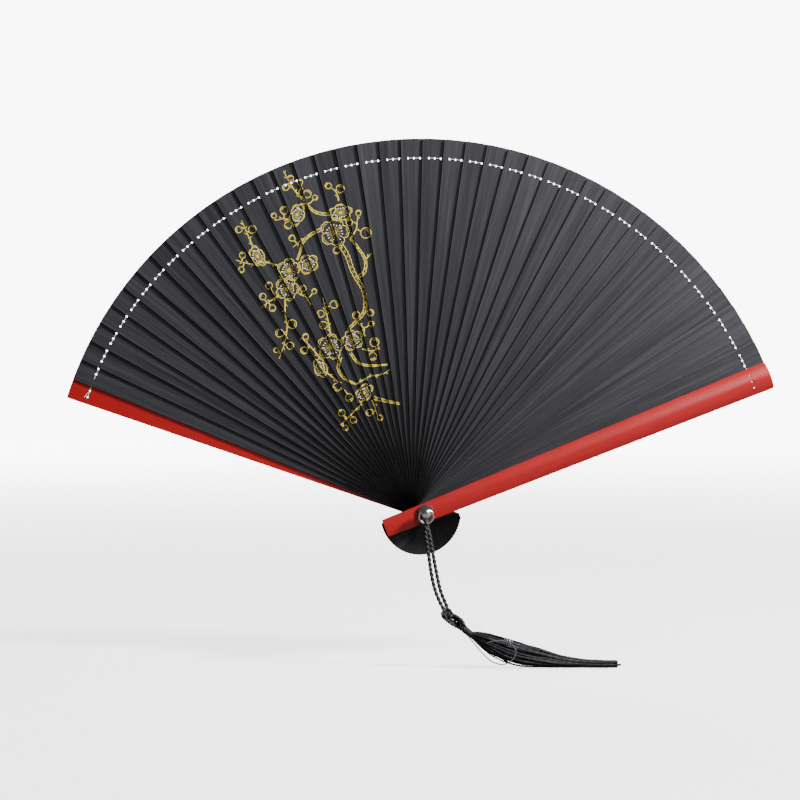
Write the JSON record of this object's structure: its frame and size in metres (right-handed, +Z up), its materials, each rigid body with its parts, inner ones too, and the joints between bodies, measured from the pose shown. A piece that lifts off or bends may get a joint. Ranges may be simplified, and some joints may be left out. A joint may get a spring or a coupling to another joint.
{
  "type": "folding fan",
  "caption": "Hand fan of thin overlapping wooden sticks turning on a rivet, spread as far as their binding thread lets them, with thicker guards and a cord tassel.",
  "frame": {"origin": "middle of the rivet that all the sticks turn on, halfway through the stack of sticks", "axes": "+Z up with the fan spread upright, +Y away from the viewer of its front along the rivet, +X to the right seen from the front; the front guard is on the right and nearest the viewer"},
  "size_m": [0.3571, 0.0596, 0.2652],
  "materials": {
    "black_wood": "dyed, satin, grain along the stick",
    "red_lacquer": "lacquered, glossy",
    "nickel": "polished",
    "black_fibre": "matt",
    "white_thread": "twisted thread",
    "gold_print": "thin printed foil line",
    "silver_print": "thin printed foil dots",
    "black_silk": "twisted cord with a slight sheen"
  },
  "bodies": {
    "front_guard": {"guard_front": "red_lacquer", "pivot_rivet": "nickel", "washer_front": "black_fibre", "rivet_burr": "nickel", "pivot_ring": "nickel", "binding_thread": "white_thread", "tassel_cord_front": "black_silk", "tassel_cord_back": "black_silk", "tassel_knot": "black_silk", "tassel_neck": "black_silk", "tassel_skirt": "black_silk", "tassel_loose_strand": "black_silk"},
    "back_guard": {"guard_back": "red_lacquer"},
    "rib_01_body": {"rib_01": "black_wood"},
    "rib_02_body": {"rib_02": "black_wood"},
    "rib_03_body": {"rib_03": "black_wood"},
    "rib_04_body": {"rib_04": "black_wood"},
    "rib_05_body": {"rib_05": "black_wood"},
    "rib_06_body": {"rib_06": "black_wood"},
    "rib_07_body": {"rib_07": "black_wood"},
    "rib_08_body": {"rib_08": "black_wood"},
    "rib_09_body": {"rib_09": "black_wood"},
    "rib_10_body": {"rib_10": "black_wood"},
    "rib_11_body": {"rib_11": "black_wood"},
    "rib_12_body": {"rib_12": "black_wood"},
    "rib_13_body": {"rib_13": "black_wood"},
    "rib_14_body": {"rib_14": "black_wood"},
    "rib_15_body": {"rib_15": "black_wood"},
    "rib_16_body": {"rib_16": "black_wood"},
    "rib_17_body": {"rib_17": "black_wood"},
    "rib_18_body": {"rib_18": "black_wood"},
    "rib_19_body": {"rib_19": "black_wood"},
    "rib_20_body": {"rib_20": "black_wood"},
    "rib_21_body": {"rib_21": "black_wood"},
    "rib_22_body": {"rib_22": "black_wood"},
    "rib_23_body": {"rib_23": "black_wood"},
    "rib_24_body": {"rib_24": "black_wood"},
    "rib_25_body": {"rib_25": "black_wood"},
    "rib_26_body": {"rib_26": "black_wood"},
    "rib_27_body": {"rib_27": "black_wood"},
    "rib_28_body": {"rib_28": "black_wood"},
    "rib_29_body": {"rib_29": "black_wood"},
    "rib_30_body": {"rib_30": "black_wood"},
    "rib_31_body": {"rib_31": "black_wood"},
    "rib_32_body": {"rib_32": "black_wood"},
    "rib_33_body": {"rib_33": "black_wood"},
    "rib_34_body": {"rib_34": "black_wood"},
    "rib_35_body": {"rib_35": "black_wood"},
    "rib_36_body": {"rib_36": "black_wood"},
    "rib_37_body": {"rib_37": "black_wood"},
    "rib_38_body": {"rib_38": "black_wood"},
    "rib_39_body": {"rib_39": "black_wood"},
    "rib_40_body": {"rib_40": "black_wood"},
    "rib_41_body": {"rib_41": "black_wood"}
  },
  "joints": [
    {"name": "fan_fold", "type": "hinge", "parent": "front_guard", "child": "back_guard", "pos_m": [0, 0, 0], "axis": [0, 1, 0], "range_deg": [0, 138.8], "deforming": ["binding_thread"]},
    {"name": "rib_01_turn", "type": "hinge", "parent": "front_guard", "child": "rib_01_body", "pos_m": [0, 0, 0], "axis": [0, 1, 0], "range_deg": [0, 3.75]},
    {"name": "rib_02_turn", "type": "hinge", "parent": "front_guard", "child": "rib_02_body", "pos_m": [0, 0, 0], "axis": [0, 1, 0], "range_deg": [0, 7.06]},
    {"name": "rib_03_turn", "type": "hinge", "parent": "front_guard", "child": "rib_03_body", "pos_m": [0, 0, 0], "axis": [0, 1, 0], "range_deg": [0, 10.37]},
    {"name": "rib_04_turn", "type": "hinge", "parent": "front_guard", "child": "rib_04_body", "pos_m": [0, 0, 0], "axis": [0, 1, 0], "range_deg": [0, 13.69]},
    {"name": "rib_05_turn", "type": "hinge", "parent": "front_guard", "child": "rib_05_body", "pos_m": [0, 0, 0], "axis": [0, 1, 0], "range_deg": [0, 17.02]},
    {"name": "rib_06_turn", "type": "hinge", "parent": "front_guard", "child": "rib_06_body", "pos_m": [0, 0, 0], "axis": [0, 1, 0], "range_deg": [0, 20.33]},
    {"name": "rib_07_turn", "type": "hinge", "parent": "front_guard", "child": "rib_07_body", "pos_m": [0, 0, 0], "axis": [0, 1, 0], "range_deg": [0, 23.65]},
    {"name": "rib_08_turn", "type": "hinge", "parent": "front_guard", "child": "rib_08_body", "pos_m": [0, 0, 0], "axis": [0, 1, 0], "range_deg": [0, 26.95]},
    {"name": "rib_09_turn", "type": "hinge", "parent": "front_guard", "child": "rib_09_body", "pos_m": [0, 0, 0], "axis": [0, 1, 0], "range_deg": [0, 30.24]},
    {"name": "rib_10_turn", "type": "hinge", "parent": "front_guard", "child": "rib_10_body", "pos_m": [0, 0, 0], "axis": [0, 1, 0], "range_deg": [0, 33.52]},
    {"name": "rib_11_turn", "type": "hinge", "parent": "front_guard", "child": "rib_11_body", "pos_m": [0, 0, 0], "axis": [0, 1, 0], "range_deg": [0, 36.79]},
    {"name": "rib_12_turn", "type": "hinge", "parent": "front_guard", "child": "rib_12_body", "pos_m": [0, 0, 0], "axis": [0, 1, 0], "range_deg": [0, 40.06]},
    {"name": "rib_13_turn", "type": "hinge", "parent": "front_guard", "child": "rib_13_body", "pos_m": [0, 0, 0], "axis": [0, 1, 0], "range_deg": [0, 43.32]},
    {"name": "rib_14_turn", "type": "hinge", "parent": "front_guard", "child": "rib_14_body", "pos_m": [0, 0, 0], "axis": [0, 1, 0], "range_deg": [0, 46.59]},
    {"name": "rib_15_turn", "type": "hinge", "parent": "front_guard", "child": "rib_15_body", "pos_m": [0, 0, 0], "axis": [0, 1, 0], "range_deg": [0, 49.86]},
    {"name": "rib_16_turn", "type": "hinge", "parent": "front_guard", "child": "rib_16_body", "pos_m": [0, 0, 0], "axis": [0, 1, 0], "range_deg": [0, 53.15]},
    {"name": "rib_17_turn", "type": "hinge", "parent": "front_guard", "child": "rib_17_body", "pos_m": [0, 0, 0], "axis": [0, 1, 0], "range_deg": [0, 56.45]},
    {"name": "rib_18_turn", "type": "hinge", "parent": "front_guard", "child": "rib_18_body", "pos_m": [0, 0, 0], "axis": [0, 1, 0], "range_deg": [0, 59.77]},
    {"name": "rib_19_turn", "type": "hinge", "parent": "front_guard", "child": "rib_19_body", "pos_m": [0, 0, 0], "axis": [0, 1, 0], "range_deg": [0, 63.11]},
    {"name": "rib_20_turn", "type": "hinge", "parent": "front_guard", "child": "rib_20_body", "pos_m": [0, 0, 0], "axis": [0, 1, 0], "range_deg": [0, 66.47]},
    {"name": "rib_21_turn", "type": "hinge", "parent": "front_guard", "child": "rib_21_body", "pos_m": [0, 0, 0], "axis": [0, 1, 0], "range_deg": [0, 69.85]},
    {"name": "rib_22_turn", "type": "hinge", "parent": "front_guard", "child": "rib_22_body", "pos_m": [0, 0, 0], "axis": [0, 1, 0], "range_deg": [0, 73.25]},
    {"name": "rib_23_turn", "type": "hinge", "parent": "front_guard", "child": "rib_23_body", "pos_m": [0, 0, 0], "axis": [0, 1, 0], "range_deg": [0, 76.65]},
    {"name": "rib_24_turn", "type": "hinge", "parent": "front_guard", "child": "rib_24_body", "pos_m": [0, 0, 0], "axis": [0, 1, 0], "range_deg": [0, 80.06]},
    {"name": "rib_25_turn", "type": "hinge", "parent": "front_guard", "child": "rib_25_body", "pos_m": [0, 0, 0], "axis": [0, 1, 0], "range_deg": [0, 83.47]},
    {"name": "rib_26_turn", "type": "hinge", "parent": "front_guard", "child": "rib_26_body", "pos_m": [0, 0, 0], "axis": [0, 1, 0], "range_deg": [0, 86.87]},
    {"name": "rib_27_turn", "type": "hinge", "parent": "front_guard", "child": "rib_27_body", "pos_m": [0, 0, 0], "axis": [0, 1, 0], "range_deg": [0, 90.25]},
    {"name": "rib_28_turn", "type": "hinge", "parent": "front_guard", "child": "rib_28_body", "pos_m": [0, 0, 0], "axis": [0, 1, 0], "range_deg": [0, 93.62]},
    {"name": "rib_29_turn", "type": "hinge", "parent": "front_guard", "child": "rib_29_body", "pos_m": [0, 0, 0], "axis": [0, 1, 0], "range_deg": [0, 96.96]},
    {"name": "rib_30_turn", "type": "hinge", "parent": "front_guard", "child": "rib_30_body", "pos_m": [0, 0, 0], "axis": [0, 1, 0], "range_deg": [0, 100.27]},
    {"name": "rib_31_turn", "type": "hinge", "parent": "front_guard", "child": "rib_31_body", "pos_m": [0, 0, 0], "axis": [0, 1, 0], "range_deg": [0, 103.56]},
    {"name": "rib_32_turn", "type": "hinge", "parent": "front_guard", "child": "rib_32_body", "pos_m": [0, 0, 0], "axis": [0, 1, 0], "range_deg": [0, 106.83]},
    {"name": "rib_33_turn", "type": "hinge", "parent": "front_guard", "child": "rib_33_body", "pos_m": [0, 0, 0], "axis": [0, 1, 0], "range_deg": [0, 110.07]},
    {"name": "rib_34_turn", "type": "hinge", "parent": "front_guard", "child": "rib_34_body", "pos_m": [0, 0, 0], "axis": [0, 1, 0], "range_deg": [0, 113.3]},
    {"name": "rib_35_turn", "type": "hinge", "parent": "front_guard", "child": "rib_35_body", "pos_m": [0, 0, 0], "axis": [0, 1, 0], "range_deg": [0, 116.51]},
    {"name": "rib_36_turn", "type": "hinge", "parent": "front_guard", "child": "rib_36_body", "pos_m": [0, 0, 0], "axis": [0, 1, 0], "range_deg": [0, 119.72]},
    {"name": "rib_37_turn", "type": "hinge", "parent": "front_guard", "child": "rib_37_body", "pos_m": [0, 0, 0], "axis": [0, 1, 0], "range_deg": [0, 122.93]},
    {"name": "rib_38_turn", "type": "hinge", "parent": "front_guard", "child": "rib_38_body", "pos_m": [0, 0, 0], "axis": [0, 1, 0], "range_deg": [0, 126.14]},
    {"name": "rib_39_turn", "type": "hinge", "parent": "front_guard", "child": "rib_39_body", "pos_m": [0, 0, 0], "axis": [0, 1, 0], "range_deg": [0, 129.37]},
    {"name": "rib_40_turn", "type": "hinge", "parent": "front_guard", "child": "rib_40_body", "pos_m": [0, 0, 0], "axis": [0, 1, 0], "range_deg": [0, 132.61]},
    {"name": "rib_41_turn", "type": "hinge", "parent": "front_guard", "child": "rib_41_body", "pos_m": [0, 0, 0], "axis": [0, 1, 0], "range_deg": [0, 135.87]}
  ],
  "couplings": [
    {"joint": "rib_01_turn", "follows": "fan_fold", "ratio": 0.027026},
    {"joint": "rib_02_turn", "follows": "fan_fold", "ratio": 0.050841},
    {"joint": "rib_03_turn", "follows": "fan_fold", "ratio": 0.074727},
    {"joint": "rib_04_turn", "follows": "fan_fold", "ratio": 0.098655},
    {"joint": "rib_05_turn", "follows": "fan_fold", "ratio": 0.12259},
    {"joint": "rib_06_turn", "follows": "fan_fold", "ratio": 0.1465},
    {"joint": "rib_07_turn", "follows": "fan_fold", "ratio": 0.17036},
    {"joint": "rib_08_turn", "follows": "fan_fold", "ratio": 0.19416},
    {"joint": "rib_09_turn", "follows": "fan_fold", "ratio": 0.21787},
    {"joint": "rib_10_turn", "follows": "fan_fold", "ratio": 0.24151},
    {"joint": "rib_11_turn", "follows": "fan_fold", "ratio": 0.26508},
    {"joint": "rib_12_turn", "follows": "fan_fold", "ratio": 0.2886},
    {"joint": "rib_13_turn", "follows": "fan_fold", "ratio": 0.31211},
    {"joint": "rib_14_turn", "follows": "fan_fold", "ratio": 0.33564},
    {"joint": "rib_15_turn", "follows": "fan_fold", "ratio": 0.35922},
    {"joint": "rib_16_turn", "follows": "fan_fold", "ratio": 0.38289},
    {"joint": "rib_17_turn", "follows": "fan_fold", "ratio": 0.40668},
    {"joint": "rib_18_turn", "follows": "fan_fold", "ratio": 0.4306},
    {"joint": "rib_19_turn", "follows": "fan_fold", "ratio": 0.45467},
    {"joint": "rib_20_turn", "follows": "fan_fold", "ratio": 0.47889},
    {"joint": "rib_21_turn", "follows": "fan_fold", "ratio": 0.50324},
    {"joint": "rib_22_turn", "follows": "fan_fold", "ratio": 0.52771},
    {"joint": "rib_23_turn", "follows": "fan_fold", "ratio": 0.55224},
    {"joint": "rib_24_turn", "follows": "fan_fold", "ratio": 0.57681},
    {"joint": "rib_25_turn", "follows": "fan_fold", "ratio": 0.60136},
    {"joint": "rib_26_turn", "follows": "fan_fold", "ratio": 0.62585},
    {"joint": "rib_27_turn", "follows": "fan_fold", "ratio": 0.65024},
    {"joint": "rib_28_turn", "follows": "fan_fold", "ratio": 0.67448},
    {"joint": "rib_29_turn", "follows": "fan_fold", "ratio": 0.69855},
    {"joint": "rib_30_turn", "follows": "fan_fold", "ratio": 0.72244},
    {"joint": "rib_31_turn", "follows": "fan_fold", "ratio": 0.74613},
    {"joint": "rib_32_turn", "follows": "fan_fold", "ratio": 0.76965},
    {"joint": "rib_33_turn", "follows": "fan_fold", "ratio": 0.79301},
    {"joint": "rib_34_turn", "follows": "fan_fold", "ratio": 0.81625},
    {"joint": "rib_35_turn", "follows": "fan_fold", "ratio": 0.8394},
    {"joint": "rib_36_turn", "follows": "fan_fold", "ratio": 0.86252},
    {"joint": "rib_37_turn", "follows": "fan_fold", "ratio": 0.88564},
    {"joint": "rib_38_turn", "follows": "fan_fold", "ratio": 0.9088},
    {"joint": "rib_39_turn", "follows": "fan_fold", "ratio": 0.93205},
    {"joint": "rib_40_turn", "follows": "fan_fold", "ratio": 0.9554},
    {"joint": "rib_41_turn", "follows": "fan_fold", "ratio": 0.97888}
  ]
}
